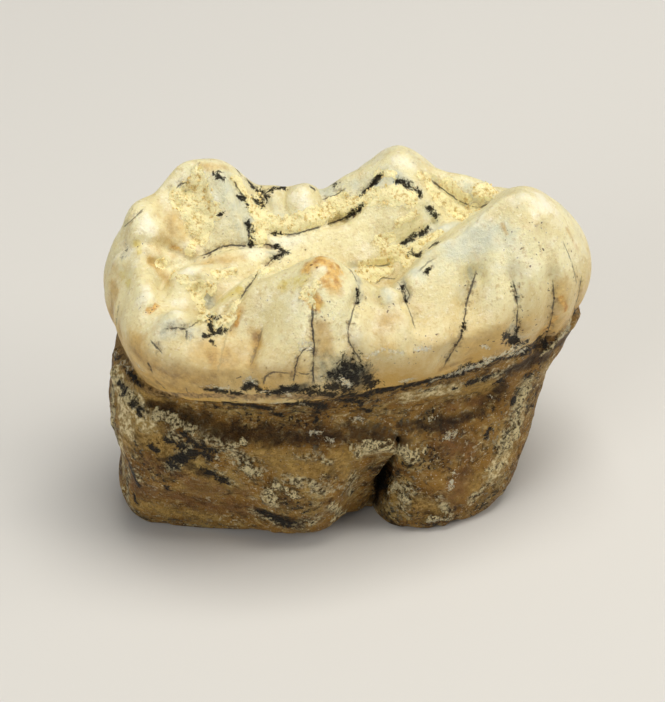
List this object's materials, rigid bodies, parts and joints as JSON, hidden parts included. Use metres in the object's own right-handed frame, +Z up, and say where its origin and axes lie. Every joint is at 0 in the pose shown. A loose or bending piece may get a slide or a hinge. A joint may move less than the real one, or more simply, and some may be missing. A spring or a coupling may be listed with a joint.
{
  "type": "fossil cave bear tooth",
  "caption": "Fossil cave bear molar: a wide crown with blunt cusps round a creased chewing basin, a pinched neck and stout roots broken off short.",
  "frame": {"origin": "on the ground, under the middle of the tooth's bounding box", "axes": "+X along the tooth towards its higher end cusp, +Y across it, away from the side that shows in the picture, +Z up from the broken roots to the cusps"},
  "size_m": [0.031, 0.0172, 0.0226],
  "materials": {
    "fossil_tooth": "cream enamel crown with a soft gloss over a rough brown root"
  },
  "bodies": {
    "root": {"tooth": "fossil_tooth"}
  },
  "joints": []
}
